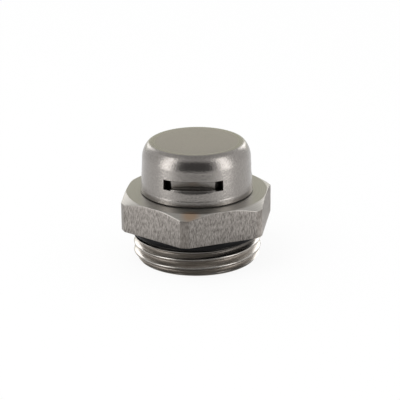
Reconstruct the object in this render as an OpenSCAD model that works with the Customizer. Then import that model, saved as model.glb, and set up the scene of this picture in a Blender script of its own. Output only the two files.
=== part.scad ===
// Screw-in breather vent for a gear unit or tank, in millimetres.
// The origin is the centre of the thread's end face and +Z points up through the cap.
// A spring-loaded valve inside lifts to let pressure out through the cap's slots.

/* [Hex] */
// Width across the flats
hex_af = 24; // [23.6:0.1:27]
// Height of the hex
hex_h = 5.6; // [4.5:0.1:8]
// Turn of the hex about the axis, in degrees
hex_turn = 21; // [0:1:59]
// Depth turned off each corner
corner_trim = 0.4; // [0.2:0.05:0.8]
// Slope of the top chamfer, in degrees
chamfer_slope = 30; // [15:1:40]
// How far the chamfer's circle lies outside the flats
chamfer_out = 0.05; // [0.03:0.01:0.3]

/* [Threaded shank] */
// Outside diameter of the thread
thread_d = 21.85; // [21:0.05:22]
// Length from the end face to the hex
shank_l = 6.2; // [5:0.1:12]
// Height of the lead-in at the end
lead_h = 1.0; // [0.6:0.1:1.4]
// Depth of the lead-in at the end
lead_in = 0.8; // [0.5:0.1:1.2]
// Width of the undercut below the hex
undercut_w = 1.45; // [1.35:0.05:1.8]
// Height of the thread's run-out into the undercut
runout_h = 0.55; // [0.4:0.05:0.8]

/* [Sealing ring] */
// Thickness of the round cord
cord_d = 1.7; // [1.5:0.05:1.75]
// Inside diameter of the ring on the undercut
ring_inner_d = 19.26; // [18.8:0.02:19.4]
// Clearance between ring and undercut
ring_clear = 0.03; // [0.02:0.01:0.06]
// Depth of the ring's recess in the hex underside
recess_h = 0.15; // [0.1:0.05:0.3]
// Clearance round the ring in its recess
recess_clear = 0.14; // [0.08:0.02:0.2]

/* [Collar] */
// Clearance between guide land and cap rim
guide_clear = 0.2; // [0.15:0.05:0.3]
// Height of the guide land
guide_h = 1.6; // [1:0.1:1.9]
// Diameter of the groove that the crimps reach into
groove_d = 15; // [14.6:0.1:15.4]
// Height of the slope from the guide land to the groove
groove_slope = 0.5; // [0.3:0.1:0.6]
// Diameter of the lip above the crimps
lip_d = 16.6; // [16.3:0.1:16.7]
// Thickness of the lip
lip_h = 1.0; // [0.6:0.1:1.1]
// Play between the lip and the crimps
lip_play = 0.25; // [0.2:0.05:0.4]
// Edge break on the collar and the bores
edge_break = 0.2; // [0.1:0.05:0.3]

/* [Air passage] */
// Diameter of the hollow in the shank
hollow_d = 13; // [10:0.1:14]
// Depth of the hollow up to its drill cone
hollow_h = 6; // [4:0.1:6.5]
// Slope of the drill cone, in degrees
cone_slope = 31; // [25:1:35]
// Diameter of the throat below the valve
throat_d = 8; // [6:0.1:8.6]
// Height of the chamber floor above the thread's end
floor_z = 8.6; // [8.4:0.1:9.2]
// Diameter of the valve chamber
chamber_d = 13; // [12.4:0.1:13.2]
// Height of the valve seat above the chamber floor
seat_h = 0.6; // [0.4:0.1:1]
// Width of the valve seat
seat_w = 0.9; // [0.6:0.1:1.1]

/* [Vent cap] */
// Outside diameter at the rim
cap_d = 19.05; // [18.9:0.05:20]
// Height from rim to top
cap_h = 8.6; // [8.2:0.1:11]
// Sheet thickness
sheet_t = 0.6; // [0.5:0.05:0.65]
// Inward lean of the wall, in degrees
wall_draft = 2.9; // [2:0.1:3]
// Outside radius of the top edge
edge_r = 1.5; // [1.2:0.1:2]
// Outside radius of the shoulder below the top edge
shoulder_r = 3.8; // [3:0.1:4.4]
// Gap between the rim and the hex
rim_gap = 0.2; // [0.1:0.05:0.3]
// Edge break on the rim
rim_break = 0.12; // [0.05:0.01:0.2]

/* [Vent slots] */
// Number of slots round the wall
slot_count = 3; // [2:1:4]
// Turn of the first slot about the axis, in degrees
slot_turn = -94.2; // [-150:0.2:-30]
// Arc of each slot, in degrees
slot_arc = 64.4; // [50:0.2:70]
// Height of the slot's lower edge above the rim
slot_z = 2.54; // [2.4:0.02:2.8]
// Height of the slot
slot_h = 1.72; // [1.6:0.02:1.8]
// Arc of the open hole at each end of the strip, in degrees
end_arc = 8.8; // [5:0.2:12]
// Depth of the crimp pressed into the strip between the holes
crimp_in = 0.75; // [0.65:0.05:0.85]
// Depth of the strip's roots below the wall's outside
root_inset = 0.03; // [0.02:0.01:0.05]

/* [Valve] */
// Thickness of the rubber seal
seal_t = 1.0; // [0.8:0.1:1.4]
// Diameter of the rubber seal
seal_d = 11.2; // [10.4:0.1:11.6]
// Thickness of the valve plate
plate_t = 0.8; // [0.6:0.1:1.2]
// Clearance between plate and chamber
plate_clear = 0.3; // [0.2:0.05:0.4]
// Diameter of the stem that guides the spring
stem_d = 5.4; // [4:0.1:5.8]
// Lift of the valve from its seat to its stop
lift = 2; // [1:0.1:3]
// Number of air notches in the plate
notch_count = 3; // [3:1:5]
// Radius of each air notch
notch_r = 1.2; // [0.8:0.1:1.4]

/* [Spring] */
// Wire thickness
wire_d = 0.6; // [0.4:0.05:0.7]
// Mean diameter of the coil
coil_d = 7.2; // [7:0.1:8.4]
// Number of turns
turns = 7; // [5:1:9]
// Clearance at each end of the spring
spring_clear = 0.03; // [0.02:0.01:0.06]

/* [Hidden] */
$fn = 96;
eps = 0.5;

hex_top = shank_l + hex_h;
corner_r = hex_af / sqrt(3) - corner_trim;
chamfer_r = hex_af / 2 + chamfer_out;
thread_r = thread_d / 2;
undercut_r = ring_inner_d / 2 - ring_clear;
undercut_z = shank_l - undercut_w;
ring_r = ring_inner_d / 2 + cord_d / 2;
ring_z = shank_l + recess_h - cord_d / 2;
recess_r = ring_r + cord_d / 2 + recess_clear;

rim_z = hex_top + rim_gap;
rim_r = cap_d / 2;
cap_top = rim_z + cap_h;
lean = tan(wall_draft);
// The wall's outside radius at a height
function wall_r(z) = rim_r - lean * (z - rim_z);
// Sheet thickness measured level
sheet_w = sheet_t / cos(wall_draft);
// The shoulder passes into the top edge along a 3-4-5 direction, so that the two arcs meet exactly
join = [0.8, 0.6];
// Centres of the top edge's arc and of the shoulder's, level to a thousandth where the wall ends
edge_z = cap_top - edge_r;
arc_z = edge_z - join[1] * (shoulder_r - edge_r);
arc_x = round((wall_r(arc_z) - shoulder_r) * 1000) / 1000;
edge_x = arc_x + join[0] * (shoulder_r - edge_r);

slot_low = rim_z + slot_z;
slot_top = slot_low + slot_h;
strip_arc = slot_arc - 2 * end_arc;
// The crimp's round section: its arc meets the wall at the slot's edges and its centre lies outside
crimp_r = (crimp_in * crimp_in + slot_h * slot_h / 4) / (2 * crimp_in);
crimp_z = slot_low + slot_h / 2;
crimp_x = wall_r(crimp_z) - crimp_in + crimp_r;
back_r = crimp_r + sheet_t;

guide_r = rim_r - sheet_w - guide_clear;
lip_r = lip_d / 2;
// The lip's underside clears the back of the crimp by the play
lip_z = crimp_z + sqrt(back_r * back_r - (crimp_x - lip_r) * (crimp_x - lip_r)) + lip_play;
collar_top = lip_z + lip_h;
groove_r = groove_d / 2;

hollow_r = hollow_d / 2;
throat_r = throat_d / 2;
chamber_r = chamber_d / 2;
cone_top = hollow_h + (hollow_r - throat_r) * tan(cone_slope);
seat_z = floor_z + seat_h;
seat_r = throat_r + seat_w;

plate_z = seat_z + seal_t;
plate_top = plate_z + plate_t;
plate_r = chamber_r - plate_clear;
stem_top = cap_top - sheet_t - lift;
coil_low = plate_top + spring_clear + wire_d / 2;
coil_high = cap_top - sheet_t - spring_clear - wire_d / 2;

// Hex with turned corners and a chamfered top
module hex_head() {
    intersection() {
        translate([0, 0, shank_l])
            rotate([0, 0, hex_turn])
                cylinder(r = hex_af / sqrt(3), h = hex_h, $fn = 6);
        rotate_extrude()
            polygon([
                [0, shank_l - eps],
                [corner_r, shank_l - eps],
                [corner_r, hex_top - (corner_r - chamfer_r) * tan(chamfer_slope)],
                [chamfer_r, hex_top],
                [chamfer_r - eps, hex_top + eps],
                [0, hex_top + eps]
            ]);
    }
}

// Shank with lead-in and undercut, and the collar above the hex
module turned_core() {
    rotate_extrude()
        polygon([
            [0, 0],
            [thread_r - lead_in, 0],
            [thread_r, lead_h],
            [thread_r, undercut_z - runout_h],
            [undercut_r, undercut_z],
            [undercut_r, hex_top - eps],
            [guide_r, hex_top - eps],
            [guide_r, hex_top + guide_h],
            [groove_r, hex_top + guide_h + groove_slope],
            [groove_r, lip_z],
            [lip_r, lip_z],
            [lip_r, collar_top - edge_break],
            [lip_r - edge_break, collar_top],
            [0, collar_top]
        ]);
}

// Everything bored out along the axis, from the hollow to the valve chamber
module air_passage() {
    rotate_extrude()
        polygon([
            [0, -eps],
            [hollow_r + edge_break + eps, -eps],
            [hollow_r, edge_break],
            [hollow_r, hollow_h],
            [throat_r, cone_top],
            [throat_r, seat_z],
            [seat_r, seat_z],
            [seat_r, floor_z],
            [chamber_r, floor_z],
            [chamber_r, collar_top - edge_break],
            [chamber_r + edge_break + eps, collar_top + eps],
            [0, collar_top + eps]
        ]);
}

module plug_body() {
    color([0.62, 0.60, 0.57])
        difference() {
            union() {
                hex_head();
                turned_core();
            }
            air_passage();
            // Recess that holds the sealing ring against the hex
            rotate_extrude()
                translate([undercut_r, shank_l - eps])
                    square([recess_r - undercut_r, recess_h + eps]);
        }
}

module sealing_ring() {
    color([0.05, 0.05, 0.055])
        rotate_extrude()
            translate([ring_r, ring_z])
                circle(d = cord_d);
}

// Filled section of the cap's crown, a depth below its outside: shoulder, top edge and flat top
module crown_fill(depth) {
    join_z = arc_z + join[1] * (shoulder_r - depth);
    intersection() {
        translate([arc_x, arc_z])
            circle(r = shoulder_r - depth);
        translate([0, arc_z])
            square([rim_r, join_z - arc_z]);
    }
    translate([0, arc_z])
        square([arc_x, join_z - arc_z]);
    intersection() {
        translate([edge_x, edge_z])
            circle(r = edge_r - depth);
        translate([0, join_z])
            square([rim_r, 2 * edge_r]);
    }
    translate([0, join_z])
        square([edge_x, cap_top - depth - join_z]);
}

// Section of the drawn cap: the outside filled in, less the inside
module cap_section() {
    break_z = rim_z + rim_break;
    difference() {
        union() {
            polygon([
                [0, rim_z],
                [rim_r - rim_break, rim_z],
                [wall_r(break_z), break_z],
                [arc_x + shoulder_r, arc_z],
                [0, arc_z]
            ]);
            crown_fill(0);
        }
        polygon([
            [0, rim_z - eps],
            [rim_r - sheet_w + rim_break + eps, rim_z - eps],
            [wall_r(break_z) - sheet_w, break_z],
            [arc_x + shoulder_r - sheet_t, arc_z],
            [0, arc_z]
        ]);
        crown_fill(sheet_t);
    }
}

// Section of the crimped strip: an arc of sheet, rooted inside the wall above and below the slot
module crimp_section() {
    low = crimp_z - back_r;
    high = crimp_z + back_r;
    intersection() {
        difference() {
            translate([crimp_x, crimp_z])
                circle(r = back_r);
            translate([crimp_x, crimp_z])
                circle(r = crimp_r);
        }
        polygon([
            [groove_r, low],
            [wall_r(low) - root_inset, low],
            [wall_r(high) - root_inset, high],
            [groove_r, high]
        ]);
    }
}

// Turns what it is given to the place of each slot
module each_slot(arc) {
    for (i = [0:slot_count - 1])
        rotate([0, 0, slot_turn + i * 360 / slot_count - arc / 2])
            children();
}

module vent_cap() {
    color([0.66, 0.64, 0.61]) {
        difference() {
            rotate_extrude()
                cap_section();
            each_slot(slot_arc)
                rotate_extrude(angle = slot_arc)
                    translate([groove_r, slot_low])
                        square([rim_r - groove_r + eps, slot_h]);
        }
        each_slot(strip_arc)
            rotate_extrude(angle = strip_arc)
                crimp_section();
    }
}

// Turned plate with a stem that centres the spring and stops against the cap
module valve_plate() {
    color([0.60, 0.58, 0.55])
        difference() {
            rotate_extrude()
                polygon([
                    [0, plate_z],
                    [plate_r, plate_z],
                    [plate_r, plate_top],
                    [stem_d / 2, plate_top],
                    [stem_d / 2, stem_top - 2 * edge_break],
                    [stem_d / 2 - 2 * edge_break, stem_top],
                    [0, stem_top]
                ]);
            for (i = [0:notch_count - 1])
                rotate([0, 0, i * 360 / notch_count])
                    translate([plate_r, 0, plate_z - eps])
                        cylinder(r = notch_r, h = plate_t + 2 * eps);
        }
}

module valve_seal() {
    color([0.07, 0.07, 0.075])
        translate([0, 0, seat_z])
            cylinder(d = seal_d, h = seal_t);
}

// Points round the wire: sides at each step along the coil
wire_sides = 8;
wire_steps = 20;
coil_steps = turns * wire_steps;
rise = coil_high - coil_low - 2 * wire_d;
// Height of the wire's centre: flat closed turns at both ends
function coil_z(s) = coil_low + wire_d * min(s, 1) + rise * min(max(s - 1, 0), turns - 2) / (turns - 2)
    + wire_d * max(s - (turns - 1), 0);
function coil_point(k, j) =
    let (
        a = 360 * k / wire_steps,
        b = 360 * (j + 0.5) / wire_sides,
        r = coil_d / 2 + wire_d / 2 * cos(b)
    )
    [r * cos(a), r * sin(a), coil_z(k / wire_steps) + wire_d / 2 * sin(b)];

module valve_spring() {
    points = [
        for (k = [0:coil_steps])
            for (j = [0:wire_sides - 1])
                coil_point(k, j)
    ];
    sides = [
        for (k = [0:coil_steps - 1])
            for (j = [0:wire_sides - 1])
                let (
                    a = k * wire_sides + j,
                    b = k * wire_sides + (j + 1) % wire_sides
                )
                [a, a + wire_sides, b + wire_sides, b]
    ];
    first = [for (j = [0:wire_sides - 1]) j];
    last = [for (j = [wire_sides - 1:-1:0]) coil_steps * wire_sides + j];
    color([0.72, 0.71, 0.69])
        polyhedron(points = points, faces = concat(sides, [first], [last]));
}

plug_body();
sealing_ring();
vent_cap();
valve_plate();
valve_seal();
valve_spring();
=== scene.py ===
import math

import bmesh
import bpy
import numpy as np
from mathutils import Matrix, Vector


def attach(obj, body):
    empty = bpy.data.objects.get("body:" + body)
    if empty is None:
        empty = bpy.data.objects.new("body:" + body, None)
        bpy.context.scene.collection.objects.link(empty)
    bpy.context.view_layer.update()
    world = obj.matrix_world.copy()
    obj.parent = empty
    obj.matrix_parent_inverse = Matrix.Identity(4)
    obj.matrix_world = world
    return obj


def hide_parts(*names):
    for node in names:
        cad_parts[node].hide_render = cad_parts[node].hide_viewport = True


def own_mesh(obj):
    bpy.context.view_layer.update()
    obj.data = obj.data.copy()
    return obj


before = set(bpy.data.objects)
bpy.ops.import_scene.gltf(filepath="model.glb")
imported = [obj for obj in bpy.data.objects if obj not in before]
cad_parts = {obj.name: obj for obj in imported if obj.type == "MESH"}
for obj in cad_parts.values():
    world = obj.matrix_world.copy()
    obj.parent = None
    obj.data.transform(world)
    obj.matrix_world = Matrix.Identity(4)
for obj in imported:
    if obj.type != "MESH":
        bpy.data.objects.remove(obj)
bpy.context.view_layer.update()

mm = 0.001  # every size below is in millimetres, the scene is in metres
mergeGap, sliver = 2e-7, 1e-8  # in metres: points this close are one, and faces this thin are dropped
scene = bpy.context.scene


# Points and quads to a smooth piece: doubles at seams and poles are merged, then faces turn outwards.
def meshPiece(name, points, quads, bands, sharpAngle):
    used, quads = np.unique(quads, return_inverse=True)
    mesh = bpy.data.meshes.new(name)
    mesh.from_pydata((points.reshape(-1, 3)[used] * mm).tolist(), [], quads.reshape(-1, 4).tolist())
    mesh.polygons.foreach_set("material_index", bands.astype(np.int32))
    bm = bmesh.new()
    bm.from_mesh(mesh)
    bmesh.ops.remove_doubles(bm, verts=bm.verts, dist=mergeGap)
    bmesh.ops.dissolve_degenerate(bm, edges=bm.edges, dist=sliver)
    bmesh.ops.recalc_face_normals(bm, faces=bm.faces)
    bm.to_mesh(mesh)
    bm.free()
    mesh.polygons.foreach_set("use_smooth", np.ones(len(mesh.polygons), dtype=bool))
    mesh.set_sharp_from_angle(angle=math.radians(sharpAngle))
    piece = bpy.data.objects.new(name, mesh)
    scene.collection.objects.link(piece)
    return piece


# Grid to mesh: neighbours in the rows x columns array of points become quads. wrapRows joins the last
# row to the first, and bands gives each quad its finish.
def gridPiece(name, points, wrapRows=False, bands=None, sharpAngle=28.0):
    rows, cols = points.shape[:2]
    index = np.arange(rows * cols).reshape(rows, cols)
    if wrapRows:
        index = np.vstack([index, index[:1]])
    quads = np.stack([index[:-1, :-1], index[:-1, 1:], index[1:, 1:], index[1:, :-1]], axis=-1).reshape(-1, 4)
    bands = np.zeros(len(quads)) if bands is None else bands.ravel()
    return meshPiece(name, points, quads, bands, sharpAngle)


# Sheet to mesh: two grids round the axis, outside and inside. Kept quads stand in both, and each edge between
# a kept quad and a missing one, the rim included, gets a quad across the sheet.
def sheetPiece(name, outer, inner, keep, sharpAngle=40.0):
    rows, cols = outer.shape[:2]
    index = np.arange(rows * cols).reshape(rows, cols)
    east = np.roll(index, -1, axis=1)
    faces = np.stack([index[:-1], east[:-1], east[1:], index[1:]], axis=-1)[keep]
    level = np.vstack([keep[:1], keep]) != np.vstack([keep, np.zeros((1, cols), dtype=bool)])
    upright = keep != np.roll(keep, 1, axis=1)
    edges = np.concatenate([np.stack([index[level], east[level]], axis=-1),
                            np.stack([index[:-1][upright], index[1:][upright]], axis=-1)])
    across = np.concatenate([edges, edges[:, ::-1] + rows * cols], axis=1)
    quads = np.concatenate([faces, faces[:, ::-1] + rows * cols, across])
    points = np.concatenate([outer.reshape(-1, 3), inner.reshape(-1, 3)])
    return meshPiece(name, points, quads, np.zeros(len(quads)), sharpAngle)


# Points of a turned shape: each row is a radius and a height, either a number or one value per column.
def turned(radii, heights, angles):
    r = np.stack([np.broadcast_to(v, len(angles)) for v in radii])
    z = np.stack([np.broadcast_to(v, len(angles)) for v in heights])
    a = np.radians(angles)
    return np.stack([r * np.cos(a), r * np.sin(a), z], axis=-1)


# Least of two lengths with the corner between them rounded over a width k.
def softMin(a, b, k):
    h = np.clip(k - np.abs(a - b), 0, None) / k
    return np.minimum(a, b) - h * h * k / 4


# Smooth step from 0 to 1
def eased(t):
    t = np.clip(t, 0, 1)
    return t * t * (3 - 2 * t)


# Finishes and moving body of a piece, whose own CAD node is hidden
def finishPiece(piece, body, node, slotName, *materials):
    for m in materials:
        piece.data.materials.append(m)
    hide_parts(node)
    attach(piece, body)
    return piece


# Node helpers for the finishes
def newFinish(name, metallic=0.0):
    material = bpy.data.materials.new(name)
    material.use_nodes = True
    shader = material.node_tree.nodes["Principled BSDF"]
    shader.inputs["Metallic"].default_value = metallic
    return material, material.node_tree, shader


def objectPlace(tree):
    return tree.nodes.new("ShaderNodeTexCoord").outputs["Object"]


# Noise over the place on the piece, drawn out along an axis whose stretch is small
def stretchedNoise(tree, scale, stretch=(1, 1, 1), detail=2, roughness=0.55):
    mapping = tree.nodes.new("ShaderNodeMapping")
    mapping.inputs["Scale"].default_value = stretch
    noise = tree.nodes.new("ShaderNodeTexNoise")
    noise.inputs["Scale"].default_value = scale
    noise.inputs["Detail"].default_value = detail
    noise.inputs["Roughness"].default_value = roughness
    tree.links.new(objectPlace(tree), mapping.inputs["Vector"])
    tree.links.new(mapping.outputs["Vector"], noise.inputs["Vector"])
    return noise.outputs["Fac"]


# Value carried evenly from one range to another and held at the ends
def ranged(tree, source, low, high, fromLow=0.3, fromHigh=0.7):
    node = tree.nodes.new("ShaderNodeMapRange")
    node.inputs["From Min"].default_value = fromLow
    node.inputs["From Max"].default_value = fromHigh
    node.inputs["To Min"].default_value = low
    node.inputs["To Max"].default_value = high
    tree.links.new(source, node.inputs["Value"])
    return node.outputs["Result"]


def bumped(tree, source, shader, strength, depth):
    bump = tree.nodes.new("ShaderNodeBump")
    bump.inputs["Strength"].default_value = strength
    bump.inputs["Distance"].default_value = depth * mm
    tree.links.new(source, bump.inputs["Height"])
    tree.links.new(bump.outputs["Normal"], shader.inputs["Normal"])


# Mix of two colours by a factor; a colour is fixed or comes from another node
def tinted(tree, factor, first, second):
    mix = tree.nodes.new("ShaderNodeMix")
    mix.data_type = "RGBA"
    for socket, colour in ((mix.inputs["A"], first), (mix.inputs["B"], second)):
        if isinstance(colour, tuple):
            socket.default_value = (*colour, 1)
        else:
            tree.links.new(colour, socket)
    tree.links.new(factor, mix.inputs["Factor"])
    return mix.outputs["Result"]


# Distance from the part's axis: the length of x and y
def axisDistance(tree):
    level = tree.nodes.new("ShaderNodeVectorMath")
    level.operation = "MULTIPLY"
    level.inputs[1].default_value = (1, 1, 0)
    length = tree.nodes.new("ShaderNodeVectorMath")
    length.operation = "LENGTH"
    tree.links.new(objectPlace(tree), level.inputs[0])
    tree.links.new(level.outputs["Vector"], length.inputs[0])
    return length.outputs["Value"]


drawnLook = {
    "grain": {"scale": 3600, "stretch": (1, 1, 0.8), "detail": 3}, "cloud": {"scale": 260},
    "dullRadius": 6.7, "drawnRadius": 7.3,
    "topTints": ((0.330, 0.305, 0.278), (0.400, 0.370, 0.337)), "topRoughness": 0.5,
    "wallTints": ((0.222, 0.206, 0.192), (0.348, 0.327, 0.308)), "wallRoughness": (0.20, 0.27),
    "bump": (0.6, 0.05),  # strength and depth
}


# Satin drawn sheet: fine even grain with soft cloudy changes of gloss, burnished where it was drawn, so that
# it is dull within the top's radius only
def drawnSteel(p):
    material, tree, shader = newFinish("drawnSteel", metallic=1.0)
    grain = stretchedNoise(tree, **p["grain"])
    cloud = stretchedNoise(tree, **p["cloud"])
    reach = ranged(tree, axisDistance(tree), 0, 1, p["dullRadius"] * mm, p["drawnRadius"] * mm)
    steel = tinted(tree, reach, tinted(tree, grain, *p["topTints"]), tinted(tree, grain, *p["wallTints"]))
    tree.links.new(steel, shader.inputs["Base Color"])
    gloss = tree.nodes.new("ShaderNodeMix")
    gloss.inputs["A"].default_value = p["topRoughness"]
    tree.links.new(ranged(tree, cloud, *p["wallRoughness"]), gloss.inputs["B"])
    tree.links.new(reach, gloss.inputs["Factor"])
    tree.links.new(gloss.outputs["Result"], shader.inputs["Roughness"])
    bumped(tree, grain, shader, *p["bump"])
    return material


hexGrain = {"scale": 5600, "stretch": (1, 1, 0.28), "detail": 3, "roughness": 0.6}
flatLook = {
    "tints": ((0.118, 0.106, 0.095), (0.420, 0.391, 0.364)),
    "glanceTints": ((0.50, 0.49, 0.48), (0.92, 0.91, 0.90)),  # of its shine at a glancing angle
    "roughness": (0.34, 0.46), "bump": (0.35, 0.04),
}


# Bar-drawn hex flats: a mottled grain of short upright streaks, duller than the turned faces
def flatSteel(p):
    material, tree, shader = newFinish("flatSteel", metallic=1.0)
    streak = stretchedNoise(tree, **hexGrain)
    share = ranged(tree, streak, 0, 1)
    tree.links.new(tinted(tree, share, *p["tints"]), shader.inputs["Base Color"])
    tree.links.new(tinted(tree, share, *p["glanceTints"]), shader.inputs["Specular Tint"])
    tree.links.new(ranged(tree, streak, *p["roughness"]), shader.inputs["Roughness"])
    bumped(tree, streak, shader, *p["bump"])
    return material


cornerLook = {
    "tints": ((0.138, 0.123, 0.109), (0.312, 0.286, 0.262)), "roughness": 0.30, "bump": (0.15, 0.02),
}


# Turned corner of the hex: the same grain, a little darker and smoother
def cornerSteel(p):
    material, tree, shader = newFinish("cornerSteel", metallic=1.0)
    streak = stretchedNoise(tree, **hexGrain)
    tree.links.new(tinted(tree, ranged(tree, streak, 0, 1), *p["tints"]), shader.inputs["Base Color"])
    shader.inputs["Roughness"].default_value = p["roughness"]
    bumped(tree, streak, shader, *p["bump"])
    return material


turnedLook = {
    "ringScale": 8200, "ringDetail": 3,
    "tints": ((0.290, 0.275, 0.254), (0.456, 0.437, 0.406)), "roughness": 0.42, "bump": (0.10, 0.02),
    "brownPatchPlace": (-1.1, -12.3, 11.7), "brownPatchRadius": 1.9, "brownPatchCore": 0.665,
    "brownPatchTint": (0.40, 0.280, 0.190), "brownPatchShare": 0.85,
}


# Turned faces: fine rings about the axis from the radius alone, and a small brown patch on the front chamfer,
# which fades with the distance from its middle
def turnedSteel(p):
    material, tree, shader = newFinish("turnedSteel", metallic=1.0)
    rings = tree.nodes.new("ShaderNodeTexNoise")
    rings.noise_dimensions = "1D"
    rings.inputs["Scale"].default_value = p["ringScale"]
    rings.inputs["Detail"].default_value = p["ringDetail"]
    tree.links.new(axisDistance(tree), rings.inputs["W"])
    steel = tinted(tree, ranged(tree, rings.outputs["Fac"], 0, 1), *p["tints"])
    away = tree.nodes.new("ShaderNodeVectorMath")
    away.operation = "DISTANCE"
    away.inputs[1].default_value = Vector(p["brownPatchPlace"]) * mm
    tree.links.new(objectPlace(tree), away.inputs[0])
    brownPatch = ranged(tree, away.outputs["Value"], p["brownPatchShare"], 0, p["brownPatchCore"] * mm, p["brownPatchRadius"] * mm)
    tree.links.new(tinted(tree, brownPatch, steel, p["brownPatchTint"]), shader.inputs["Base Color"])
    shader.inputs["Roughness"].default_value = p["roughness"]
    bumped(tree, rings.outputs["Fac"], shader, *p["bump"])
    return material


threadLook = {
    "lines": {"scale": 5200, "stretch": (0.05, 0.05, 1), "detail": 3, "roughness": 0.6},
    "crestTints": ((0.300, 0.280, 0.256), (0.560, 0.532, 0.500)), "rootTint": (0.310, 0.276, 0.242),
    "rootRadius": 9.90, "brightRadius": 10.65, "roughness": (0.50, 0.20), "bump": (0.5, 0.05),
    # painted shade in the groove under the ring: its dark tint and the heights over which it comes in
    "ringShadeTint": (0.045, 0.040, 0.036), "ringShadeLow": 3.7, "ringShadeTop": 4.1,
}


# Cut thread: bright level tool lines, browner and duller towards the roots, by the distance from the axis.
# The groove just below the ring is painted dark by the height: painted shade under the ring
def threadSteel(p):
    material, tree, shader = newFinish("threadSteel", metallic=1.0)
    lines = stretchedNoise(tree, **p["lines"])
    height = tree.nodes.new("ShaderNodeSeparateXYZ")
    tree.links.new(objectPlace(tree), height.inputs["Vector"])
    # painted shade: the roots darken towards the ring, between the two heights
    ringShade = ranged(tree, height.outputs["Z"], 0, 1, p["ringShadeLow"] * mm, p["ringShadeTop"] * mm)
    root = tinted(tree, ringShade, p["rootTint"], p["ringShadeTint"])
    crest = tinted(tree, ranged(tree, lines, 0, 1), *p["crestTints"])
    reach = ranged(tree, axisDistance(tree), 0, 1, p["rootRadius"] * mm, p["brightRadius"] * mm)
    tree.links.new(tinted(tree, reach, root, crest), shader.inputs["Base Color"])
    tree.links.new(ranged(tree, reach, *p["roughness"], 0, 1), shader.inputs["Roughness"])
    bumped(tree, lines, shader, *p["bump"])
    return material


springLook = {"grain": {"scale": 3000}, "tints": ((0.38, 0.37, 0.35), (0.46, 0.45, 0.43)), "roughness": 0.25}


# Drawn wire: bright, with a fine even grain
def springSteel(p):
    material, tree, shader = newFinish("springSteel", metallic=1.0)
    tree.links.new(tinted(tree, stretchedNoise(tree, **p["grain"]), *p["tints"]), shader.inputs["Base Color"])
    shader.inputs["Roughness"].default_value = p["roughness"]
    return material


rubberLook = {
    "tint": (0.006, 0.006, 0.0065), "roughness": 0.38, "shine": 0.10,
    "speckle": {"scale": 3000}, "bump": (0.05, 0.02),
}


# Moulded rubber: black with a soft cool sheen
def blackRubber(p):
    material, tree, shader = newFinish("blackRubber")
    shader.inputs["Base Color"].default_value = (*p["tint"], 1)
    shader.inputs["Roughness"].default_value = p["roughness"]
    shader.inputs["Specular IOR Level"].default_value = p["shine"]
    bumped(tree, stretchedNoise(tree, **p["speckle"]), shader, *p["bump"])
    return material


drawn, flats, corners = drawnSteel(drawnLook), flatSteel(flatLook), cornerSteel(cornerLook)
faced, cut = turnedSteel(turnedLook), threadSteel(threadLook)
rubber, wire = blackRubber(rubberLook), springSteel(springLook)
print("finishes made")

face, thread, flat, corner = range(4)  # the plug body's finishes, in the order of its materials
sixth = 60.0  # degrees from one corner of the hex to the next
plug = {
    "hexFlats": 24.0, "hexTurn": 21.0, "cornerTrim": 0.4,
    "hexLow": 6.2, "hexTop": 11.8,
    "chamferSlope": 30.0, "chamferOut": 0.05, "edgeRound": 0.11, "cornerRound": 0.05,
    "edgeColumn": 0.15, "flatColumns": 34,  # degrees between columns at a corner's edges, columns along a flat
    "threadRadius": 10.925, "pitch": 1.5, "threadDepth": 0.95, "flankAngle": 30.0,
    "crestFlat": 0.19, "crestRound": 0.18, "rootRound": 0.30,
    "crestHeight": 3.46,  # height of a crest at angle 0
    "crestRows": (0, 0.40, 13), "rootRows": (0.48, 0.96, 11),  # first and last share of half a pitch, count
    "leadIn": 0.8, "leadHeight": 1.0,
    "undercutRadius": 9.6, "undercutLow": 4.28, "ridgeLand": 0.08,
    "recessRadius": 11.47, "recessTop": 6.35,
    "chamferRing": 0.6, "guideRing": 0.5,  # rings of the level face: in from the chamfer, out from the guide
    "guideRadius": 8.724, "guideTop": 13.4, "grooveRadius": 7.5, "grooveLow": 13.9,
    "lipRadius": 8.3, "lipLow": 16.535, "collarTop": 17.535, "edgeBreak": 0.2,
    "chamberRadius": 6.5, "floor": 8.6, "seatRadius": 4.9, "seatTop": 9.2,
    "throatRadius": 4.0, "hollowRadius": 6.5, "hollowTop": 6.0, "coneTop": 7.5,
}


# Columns round the body: close together at the hex's corner edges, even along its flats.
def hexColumns(p, cornerHalf):
    near = p["edgeColumn"] * np.arange(-3, 4)
    onCorner = np.concatenate([cornerHalf * np.array([0, 0.35, 0.7]), cornerHalf + near])
    onFlat = np.linspace(onCorner[-1], sixth - onCorner[-1], p["flatColumns"])[1:-1]
    sextant = np.concatenate([onCorner, onFlat, (sixth - onCorner[1:])[::-1]])
    return np.append((sextant + sixth * np.arange(6)[:, None]).ravel(), 360.0)


# Thread radius: a trapezoid over the distance from the nearest crest line, which climbs one pitch a turn,
# cut down by the cone of the lead-in.
def threadSurface(z, angle, p):
    crest = p["crestHeight"] + p["pitch"] * angle / 360
    away = np.abs((z - crest + p["pitch"] / 2) % p["pitch"] - p["pitch"] / 2)
    flank = p["threadRadius"] - (away - p["crestFlat"] / 2) / math.tan(math.radians(p["flankAngle"]))
    ridge = softMin(flank, p["threadRadius"], p["crestRound"])
    ridge = -softMin(-ridge, p["threadDepth"] - p["threadRadius"], p["rootRound"])
    lead = p["threadRadius"] - p["leadIn"] * (1 - z / p["leadHeight"])
    return np.minimum(ridge, lead)


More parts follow.
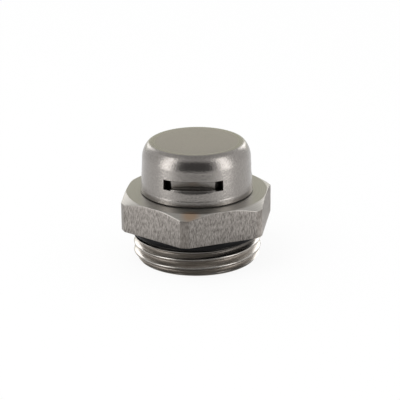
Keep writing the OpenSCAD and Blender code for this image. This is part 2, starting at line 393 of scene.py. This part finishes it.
# Rows of the thread, from the end face to the shoulder: they keep to the crest, close together at its round,
# and climb one pitch over the turn. The ridge is cut off at a short upright land.
def threadRows(p, columns):
    angle = columns + p["hexTurn"]
    half = p["pitch"] / 2
    upper = half * np.concatenate([np.linspace(*p["crestRows"]), np.linspace(*p["rootRows"])])
    offsets = np.unique(np.round(np.concatenate([upper, -upper, [-half]]), 5))
    startCrest = (p["crestHeight"] + p["pitch"] * p["hexTurn"] / 360) % p["pitch"]
    turns = np.arange(-3, 5)[:, None] * p["pitch"]  # crests enough to pass both ends
    climb = np.sort((startCrest + turns + offsets).ravel())
    climb = climb[(climb > -p["pitch"]) & (climb < p["undercutLow"])]
    landLow = p["undercutLow"] - p["ridgeLand"]
    lift = p["pitch"] * columns / 360
    levels = [np.clip(z + lift, 0, landLow) for z in (-p["pitch"], *climb, p["undercutLow"])]
    rows = [(threadSurface(level, angle, p), level, thread) for level in levels]
    return rows + [(threadSurface(landLow, angle, p), p["undercutLow"], thread)]


# Rows of the hex, from its underside to the level face on top: both edges are quarter rounds, and the height
# of the top is level out to the chamfer, then falls along its cone.
def hexRows(p, hexRadius):
    e = p["edgeRound"]
    inner = hexRadius - e
    chamferRadius = p["hexFlats"] / 2 + p["chamferOut"]
    fall = math.tan(math.radians(p["chamferSlope"]))
    quarter = np.radians(np.linspace(0, 90, 5))

    def topHeight(r):
        return p["hexTop"] - fall * np.maximum(r - chamferRadius, 0)

    rows = [(inner + e * np.sin(t), p["hexLow"] + e * (1 - np.cos(t)), flat if t > 0 else face)
            for t in quarter]
    low, high = p["hexLow"] + e, topHeight(hexRadius) - e
    rows += [(hexRadius, low + (high - low) * share, flat) for share in (0.25, 0.5, 0.75)]
    for t in quarter[::-1]:
        r = inner + e * np.sin(t)
        rows.append((r, topHeight(r) - e * (1 - np.cos(t)), face if t < quarter[-1] else flat))
    for share in (0.75, 0.5, 0.25, 0.0):
        r = np.minimum(chamferRadius, inner) + np.maximum(inner - chamferRadius, 0) * share
        rows.append((r, topHeight(r), face))
    return rows + [(chamferRadius - p["chamferRing"], p["hexTop"], face),
                   (p["guideRadius"] + p["guideRing"], p["hexTop"], face)]


# Rows of plain turned faces: each is a corner of the profile, a radius and a height.
def turnedRows(*profile):
    return [(r, z, face) for r, z in profile]


# Plug body: one closed profile carried round the axis, from the end face up the outside and down through the
# collar. The hex rows take their radius from the six flats and the turned corner, which has its own finish.
def makePlugBody(p):
    cornerRadius = p["hexFlats"] / math.sqrt(3) - p["cornerTrim"]
    cornerHalf = sixth / 2 - math.degrees(math.acos(p["hexFlats"] / 2 / cornerRadius))
    columns = hexColumns(p, cornerHalf)
    fromFlat = np.radians(columns % sixth - sixth / 2)
    hexRadius = softMin(p["hexFlats"] / 2 / np.cos(fromFlat), cornerRadius, p["cornerRound"])
    b = p["edgeBreak"]
    endFace = turnedRows((p["hollowRadius"] + b, 0), ((p["hollowRadius"] + p["threadRadius"]) / 2, 0))
    undercut = turnedRows(
        (p["undercutRadius"], p["undercutLow"]), (p["undercutRadius"], p["recessTop"]),
        (p["recessRadius"], p["recessTop"]), (p["recessRadius"], p["hexLow"]),
    )
    collar = turnedRows(
        (p["guideRadius"], p["hexTop"]), (p["guideRadius"], p["guideTop"]), (p["grooveRadius"], p["grooveLow"]),
        (p["grooveRadius"], p["lipLow"]), (p["lipRadius"], p["lipLow"]), (p["lipRadius"], p["collarTop"] - b),
        (p["lipRadius"] - b, p["collarTop"]), (p["chamberRadius"] + b, p["collarTop"]),
        (p["chamberRadius"], p["collarTop"] - b), (p["chamberRadius"], p["floor"]),
        (p["seatRadius"], p["floor"]), (p["seatRadius"], p["seatTop"]),
        (p["throatRadius"], p["seatTop"]), (p["throatRadius"], p["coneTop"]),
        (p["hollowRadius"], p["hollowTop"]), (p["hollowRadius"], b),
    )
    rows = endFace + threadRows(p, columns) + undercut + hexRows(p, hexRadius) + collar
    radii, heights, finish = zip(*rows)
    middle = (columns[:-1] + columns[1:]) / 2 % sixth
    onCorner = (middle < cornerHalf) | (middle > sixth - cornerHalf)
    bands = np.repeat(np.array(finish)[:, None], len(middle), axis=1)
    bands[(bands == flat) & onCorner] = corner
    piece = gridPiece("plugBody", turned(radii, heights, columns + p["hexTurn"]), wrapRows=True, bands=bands)
    return finishPiece(piece, "plug", "plug_body", "turned_steel", faced, cut, flats, corners)


makePlugBody(plug)
print("plug body made")

ring = {"meanRadius": 10.48, "height": 5.5, "cordRadius": 0.85, "cordSides": 32, "columns": 240}


# Sealing ring: a circle carried round the axis.
def makeSealingRing(p):
    around = np.radians(np.linspace(0, 360, p["cordSides"] + 1))
    points = turned(p["meanRadius"] + p["cordRadius"] * np.cos(around),
                    p["height"] + p["cordRadius"] * np.sin(around), np.linspace(0, 360, p["columns"] + 1))
    return finishPiece(gridPiece("sealingRing", points), "plug", "sealing_ring", "black_rubber", rubber)


makeSealingRing(ring)
print("sealing ring made")

cap = {
    "rimRadius": 9.525, "rimHeight": 12.0, "top": 20.6, "sheet": 0.6, "draft": 2.9,
    "edgeRadius": 1.5, "edgeCentre": (7.275, 19.1), "joinAngle": 36.87,
    "shoulderRadius": 3.8, "shoulderCentre": (5.435, 17.72), "topRings": (0, 2.4, 4.8, 6.3),
    # the top sinks by the crown towards its edge: where that starts and ends, and how wide each change is
    "crown": 0.10, "crownStart": 5.6, "crownFall": 1.7, "crownEnd": 7.2, "crownFade": 1.2,
    "slotTurn": -94.2, "slotCount": 3, "slotArc": 64.4, "endArc": 8.8, "slotLow": 14.54, "slotTop": 16.26,
    # legs of the strip's line: length, first and last slope, steps to a row; the lip's length is worked out
    "stripLegs": {
        "crease": (0.08, 0, 62, 4), "settle": (0.06, 62, 19, 6), "strip": (1.46, 19, 34, 3),
        "valley": (0.06, 34, -67, 6), "lip": (1, -67, -65, 4), "roll": (0.04, -65, -24, 8),
        "fall": (0.60, -24, 0, 3),
    },
    "legSteps": 24,
    "creaseRise": 0.18,  # of the crease at the slot's middle
    "endDepth": 0.6,  # share of the strip's depth at its ends
    "backRadius": 1.468, "backCentre": 9.471, "backHeight": 15.2,  # round back of the strip, inside the cap
    "flare": 0.02, "flareHeight": 12.9, "flareSpan": 0.3,
    "edgeRound": 0.07, "edgeAngle": 50.0,
    "columnStep": 1.2, "edgeRows": 11, "shoulderRows": 15, "aboveRows": 7, "belowRows": 5,
    "flareRows": 9, "rimRows": 4,
}


# Strip's line down the wall: each leg has a length and a slope that changes evenly along it, inwards counted
# up, and the sums of the slope's cosine and sine are the drop and the depth. The lip's length brings it back
# to the wall.
def stripLine(p):
    legs, steps = p["stripLegs"], p["legSteps"]

    def sums(size, start, end):
        slope = np.radians(start + (end - start) * (np.arange(steps) + 0.5) / steps)
        return np.stack([np.cos(slope), np.sin(slope)]) * size / steps

    parts = {name: sums(*leg[:3]) for name, leg in legs.items()}
    depths = {name: part[1].sum() for name, part in parts.items()}
    parts["lip"] *= (depths["lip"] - sum(depths.values())) / depths["lip"]
    line = np.cumsum(np.concatenate([np.zeros((2, 1)), *parts.values()], axis=1), axis=1)
    starts = {name: i * steps for i, name in enumerate(legs)}
    rows = [np.arange(starts[name], starts[name] + steps, leg[3]) for name, leg in legs.items()]
    drop, depth = line[:, np.concatenate([*rows, [len(legs) * steps]])]
    return drop, depth, line[0, starts["valley"] + steps // 2]


# Heights of the wall's rows, one value per column: wall, strip's line, wall, flare and rim. Towards the slot's
# middle the crease rises and the lip sags, by the square of the distance. The rows above the line are counted
# and the line's depths are given too.
def wallRows(p, wallTop, flareTop, flareLow, aside):
    drop, depth, valley = stripLine(p)
    least = (p["slotTop"] - valley - p["slotLow"]) / (drop[-1] - valley)
    sag = 1 - (1 - least) * aside ** 2
    bend = p["slotTop"] + p["creaseRise"] * (1 - aside ** 2)
    drop = drop[:, None]
    line = bend - np.where(drop > valley, valley + (drop - valley) * sag, drop)
    above = np.linspace(wallTop, p["slotTop"], p["aboveRows"])[1:-1]
    below = line[-1] + (flareTop - line[-1]) * np.linspace(0, 1, p["belowRows"])[1:, None]
    low = np.concatenate([np.linspace(flareTop, flareLow, p["flareRows"])[1:],
                          np.linspace(flareLow, p["rimHeight"], p["rimRows"])[1:]])
    level = np.ones_like(aside)
    return np.concatenate([above[:, None] * level, line, below, low[:, None] * level]), len(above), depth


# Drawn cap: the section of top, edge, shoulder and leaning wall turned about the axis, outside and inside.
# Between the end holes of each slot the wall follows the strip's line, most at the middle.
def makeVentCap(p):
    slotHalf = p["slotArc"] / 2
    strip = slotHalf - p["endArc"]
    sector = 360 / p["slotCount"]
    marks = (-sector / 2, -slotHalf, -strip, strip, slotHalf, sector / 2)
    spans = [np.linspace(a, b, int((b - a) / p["columnStep"]) + 1)[:-1] for a, b in zip(marks[:-1], marks[1:])]
    columns = (np.concatenate(spans) + sector * np.arange(p["slotCount"])[:, None]).ravel()
    fromSlot = (columns + sector / 2) % sector - sector / 2
    aside = np.minimum(np.abs(fromSlot) / strip, 1)
    draft = math.radians(p["draft"])
    edgeTurn = np.radians(np.linspace(90, p["joinAngle"], p["edgeRows"]))
    bowTurn = np.radians(np.linspace(p["joinAngle"], p["draft"], p["shoulderRows"]))[1:]
    (edgeX, edgeZ), (bowX, bowZ) = p["edgeCentre"], p["shoulderCentre"]
    bowEnd = bowZ + p["shoulderRadius"] * math.sin(draft)
    flareTop, flareLow = p["flareHeight"] + p["flareSpan"] / 2, p["flareHeight"] - p["flareSpan"] / 2
    upright, rowsAbove, depth = wallRows(p, bowEnd, flareTop, flareLow, aside)
    first = len(p["topRings"]) + len(edgeTurn) + len(bowTurn) + rowsAbove
    last = first + len(depth) - 1

    def section(inset):
        edge, shoulder = p["edgeRadius"] - inset, p["shoulderRadius"] - inset
        r = np.concatenate([p["topRings"], edgeX + edge * np.cos(edgeTurn), bowX + shoulder * np.cos(bowTurn)])
        z = np.concatenate([np.full(len(p["topRings"]), p["top"] - inset),
                            edgeZ + edge * np.sin(edgeTurn), bowZ + shoulder * np.sin(bowTurn)])
        sunk = eased((r - p["crownStart"]) / p["crownFall"]) * (1 - eased((r - p["crownEnd"]) / p["crownFade"]))
        z = z - p["crown"] * sunk
        wall = p["rimRadius"] - math.tan(draft) * (upright - p["rimHeight"]) - inset / math.cos(draft)
        wall = wall + p["flare"] * (1 - eased((upright - flareLow) / p["flareSpan"]))
        r = np.concatenate([np.repeat(r[:, None], len(columns), axis=1), wall])
        z = np.concatenate([np.repeat(z[:, None], len(columns), axis=1), upright])
        return r, z

    outR, outZ = section(0)
    inR, inZ = section(p["sheet"])
    share = 1 - (1 - p["endDepth"]) * aside ** 2
    onStrip = np.abs(fromSlot) < strip + p["columnStep"] / 2
    outR[first:last + 1] -= depth[:, None] * np.where(onStrip, share, 0)
    fade = 1 - eased((np.abs(fromSlot) - strip) / p["endArc"])
    reach = np.clip(p["backRadius"] ** 2 - (inZ - p["backHeight"]) ** 2, 0, None)
    raised = np.where(inZ < bowZ, np.clip(inR - (p["backCentre"] - np.sqrt(reach)), 0, None), 0)
    inR -= raised * fade * share
    outer = turned(outR, outZ, columns + p["slotTurn"])
    inner = turned(inR, inZ, columns + p["slotTurn"])

    keep = np.ones((len(outR) - 1, len(columns)), dtype=bool)
    middle = np.abs(fromSlot + (np.roll(fromSlot, -1) - fromSlot) % sector / 2)
    keep[first:last, (middle > strip) & (middle < slotHalf)] = False
    piece = sheetPiece("ventCap", outer, inner, keep)
    edges = piece.modifiers.new("edges", "BEVEL")
    edges.width = p["edgeRound"] * mm
    edges.segments = 2
    edges.limit_method = "ANGLE"
    edges.angle_limit = math.radians(p["edgeAngle"])
    edges.harden_normals = True
    return finishPiece(piece, "cap", "vent_cap", "drawn_steel", drawn)


makeVentCap(cap)
print("vent cap made")

spring = {
    "wireRadius": 0.3, "coilRadius": 3.6, "turns": 7, "low": 11.03, "high": 19.97, "lift": 1.95,
    "wireSides": 12, "turnSteps": 48,
}


# Valve spring: a wire circle carried up a coil, with a closed turn at each end.
def makeValveSpring(p):
    low, high = p["low"] + p["wireRadius"], p["high"] - p["wireRadius"]
    wireSize = 2 * p["wireRadius"]
    turn = np.linspace(0, p["turns"], p["turns"] * p["turnSteps"] + 1)
    rise = (high - low - 2 * wireSize) / (p["turns"] - 2)
    height = low + wireSize * np.minimum(turn, 1) + rise * np.clip(turn - 1, 0, p["turns"] - 2)
    height = height + wireSize * np.maximum(turn - p["turns"] + 1, 0)
    size = np.full(len(turn), p["wireRadius"])
    turn, height, size = (np.concatenate([v[:1], v, v[-1:]]) for v in (turn, height, size))
    size[[0, -1]] = 0  # the wire's ends close to a point on their own plane
    around = np.radians(np.linspace(0, 360, p["wireSides"] + 1))
    r = p["coilRadius"] + size[:, None] * np.cos(around)
    a = 2 * math.pi * turn[:, None]
    z = height[:, None] + size[:, None] * np.sin(around)
    points = np.stack([r * np.cos(a), r * np.sin(a), z], axis=-1)
    piece = gridPiece("valveSpring", points, sharpAngle=40)
    finishPiece(piece, "valve", "valve_spring", "spring_steel", wire)
    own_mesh(piece)
    return piece


makeValveSpring(spring)


# CAD pieces that keep their own shape take a finish only
def dress(node, material):
    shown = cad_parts[node]
    shown.data.materials.clear()
    shown.data.materials.append(material)


dress("valve_plate", faced)
dress("valve_seal", rubber)
print("valve made")

camera = {
    "distance": 298.2, "elevation": 20.95, "target": 6.2, "right": 0.538, "up": 3.40, "roll": 0.508,
    "fov": 13.15, "clipStart": 5.0,
}


# Camera: stands at a distance and elevation from the axis point level with the hex's underside, and aims a
# little beside it
def placeCamera(p):
    e = math.radians(p["elevation"])
    stand = Vector((0, -p["distance"] * math.cos(e), p["target"] + p["distance"] * math.sin(e)))
    aim = Vector((p["right"], p["up"] * math.sin(e), p["target"] + p["up"] * math.cos(e)))
    lens = bpy.data.cameras.new("camera")
    lens.angle = math.radians(p["fov"])
    lens.clip_start = p["clipStart"] * mm
    eye = bpy.data.objects.new("camera", lens)
    look = (aim - stand).to_track_quat("-Z", "Y").to_matrix().to_4x4()
    eye.matrix_world = Matrix.Translation(stand * mm) @ look @ Matrix.Rotation(math.radians(-p["roll"]), 4, "Z")
    scene.collection.objects.link(eye)
    scene.camera = eye


placeCamera(camera)
print("camera placed")

studio = {
    "floorSize": 4000.0, "floorHeight": -0.02, "floorColor": (0.95, 0.95, 0.95), "floorGlow": 0.9,
    "floorRoughness": 0.9, "worldLevel": 0.9,
    "keyPower": 0.40, "keySize": 260.0, "keyPlace": (-180.0, -120.0, 360.0),
}

# Cards seen by mirrors only: azimuth of the middle from the front to the right, its distance and height, half
# width, half height, level, colour and soft share of the edge. A card with no azimuth lies level, its place is
# x and y, and its half width may differ at its front and back end.
white, olive = (1, 1, 1), (1, 1, 0.83)
cards = {
    # painted shadow: these three dark cards lie on the floor in front of and under the part, and mirrors see
    # them as its shade on the floor
    "floorShadowCard": (None, (0, -53), 0.05, (64, 14), 41, 0.88, white, 0.45),
    "nearShadowCard": (None, (0, -14), 0.10, (30, 20), 16, 0.58, white, 0.55),
    "rimShadowCard": (None, (0, -4), 0.15, 15, 9.5, 0.10, white, 0.35),
    # painted light: these three glowing cards lie on the floor beside the part, and mirrors see them as pools
    # of light on the floor
    "leftLightPool": (None, (-12, 12), 0.12, 7, 7, 1.7, white, 0.50),
    "rightLightPool": (None, (12, 12), 0.12, 7, 7, 1.7, white, 0.50),
    "cornerLightPool": (None, (26, 2), 0.12, 6, 8, 2.2, white, 0.50),
    "frontShade": (-3, 95, 50, 83, 62, 0.11, white, 0.22),
    "ceiling": (None, (0, 0), 150, 150, 150, 0.74, white, 0.05),
    "ceilingStrip": (None, (0, 20), 147, 48, 150, 0.53, white, 0.45),
    "backWall": (180, 220, 84, 190, 84, 0.84, olive, 0.25),
    "backLeftBox": (-147, 200, 88, 44, 52, 3.0, white, 0.25),
    "backRightBox": (147, 200, 88, 44, 52, 3.3, white, 0.25),
    "leftBox": (-62.5, 78, 49, 19, 55, 3.2, white, 0.25),
    "rightBox": (60.5, 78, 49, 19, 55, 3.2, white, 0.25),
}
cardPoints = 33  # along each side of a card


# Light of a card: an even glow that the fade at its edge mixes with clear air
def cardGlow(name, level, colour):
    material, tree, shader = newFinish(name)
    tree.nodes.remove(shader)
    edge = tree.nodes.new("ShaderNodeAttribute")
    edge.attribute_name = "fade"
    clear = tree.nodes.new("ShaderNodeBsdfTransparent")
    shine = tree.nodes.new("ShaderNodeEmission")
    shine.inputs["Color"].default_value = (*colour, 1)
    shine.inputs["Strength"].default_value = level
    mix = tree.nodes.new("ShaderNodeMixShader")
    tree.links.new(edge.outputs["Fac"], mix.inputs["Fac"])
    tree.links.new(clear.outputs["BSDF"], mix.inputs[1])
    tree.links.new(shine.outputs["Emission"], mix.inputs[2])
    tree.links.new(mix.outputs["Shader"], tree.nodes["Material Output"].inputs["Surface"])
    return material


# A card is a flat grid of points with a soft edge: its fade is the eased distance from the edge in both
# directions.
def makeCard(name, azimuth, place, height, halfWidth, halfHeight, level, colour, soft):
    side = np.linspace(-1, 1, cardPoints)
    u, v = np.meshgrid(side, side)
    if azimuth is None:
        front, back = np.broadcast_to(halfWidth, 2)
        width = front + (back - front) * (v + 1) / 2
        points = np.stack([place[0] + width * u, place[1] + halfHeight * v, height + 0 * u], axis=-1)
    else:
        a = math.radians(azimuth)
        x = place * math.sin(a) + halfWidth * u * math.cos(a)
        y = -place * math.cos(a) + halfWidth * u * math.sin(a)
        points = np.stack([x, y, height + halfHeight * v], axis=-1)
    card = gridPiece(name, points)
    fade = eased((1 - np.abs(u)) / soft) * eased((1 - np.abs(v)) / soft)
    card.data.attributes.new("fade", "FLOAT", "POINT").data.foreach_set("value", fade.ravel())
    card.data.materials.append(cardGlow(name, level, colour))
    card.visible_camera = False
    card.visible_diffuse = False
    card.visible_shadow = False
    card.visible_transmission = False


# Floor paint: plain white, which the camera and mirrors see mostly as an even glow, so that its shadow is
# faint
def floorPaint(p):
    material, tree, shader = newFinish("floorPaint")
    shader.inputs["Base Color"].default_value = (*p["floorColor"], 1)
    shader.inputs["Roughness"].default_value = p["floorRoughness"]
    shader.inputs["Specular IOR Level"].default_value = 0.0
    path = tree.nodes.new("ShaderNodeLightPath")
    seen = tree.nodes.new("ShaderNodeMath")
    seen.operation = "MAXIMUM"
    seenThrough = tree.nodes.new("ShaderNodeMath")
    seenThrough.operation = "MAXIMUM"
    share = tree.nodes.new("ShaderNodeMath")
    share.operation = "MULTIPLY"
    share.inputs[1].default_value = p["floorGlow"]
    glow = tree.nodes.new("ShaderNodeEmission")
    mix = tree.nodes.new("ShaderNodeMixShader")
    tree.links.new(path.outputs["Is Camera Ray"], seen.inputs[0])
    tree.links.new(path.outputs["Is Glossy Ray"], seen.inputs[1])
    tree.links.new(seen.outputs[0], seenThrough.inputs[0])
    tree.links.new(path.outputs["Is Transmission Ray"], seenThrough.inputs[1])
    tree.links.new(seenThrough.outputs[0], share.inputs[0])
    tree.links.new(share.outputs[0], mix.inputs["Fac"])
    tree.links.new(shader.outputs["BSDF"], mix.inputs[1])
    tree.links.new(glow.outputs["Emission"], mix.inputs[2])
    tree.links.new(mix.outputs["Shader"], tree.nodes["Material Output"].inputs["Surface"])
    return material


# Studio: a level floor, an even white world, one soft lamp aimed at the origin, and the cards
def makeStudio(p):
    half = p["floorSize"] / 2
    x, y = np.meshgrid([-half, half], [-half, half])
    floor = gridPiece("floor", np.stack([x, y, p["floorHeight"] + 0 * x], axis=-1))
    floor.data.materials.append(floorPaint(p))

    world = bpy.data.worlds.new("studio")
    world.use_nodes = True
    world.node_tree.nodes["Background"].inputs["Color"].default_value = (1, 1, 1, 1)
    world.node_tree.nodes["Background"].inputs["Strength"].default_value = p["worldLevel"]
    scene.world = world

    lamp = bpy.data.lights.new("key", "AREA")
    lamp.energy = p["keyPower"]
    lamp.size = p["keySize"] * mm
    key = bpy.data.objects.new("key", lamp)
    place = Vector(p["keyPlace"])
    key.matrix_world = Matrix.Translation(place * mm) @ (-place).to_track_quat("-Z", "Y").to_matrix().to_4x4()
    key.visible_glossy = False
    scene.collection.objects.link(key)
    for name, values in cards.items():
        makeCard(name, *values)


makeStudio(studio)
scene.view_settings.view_transform = "Standard"
print("studio made")
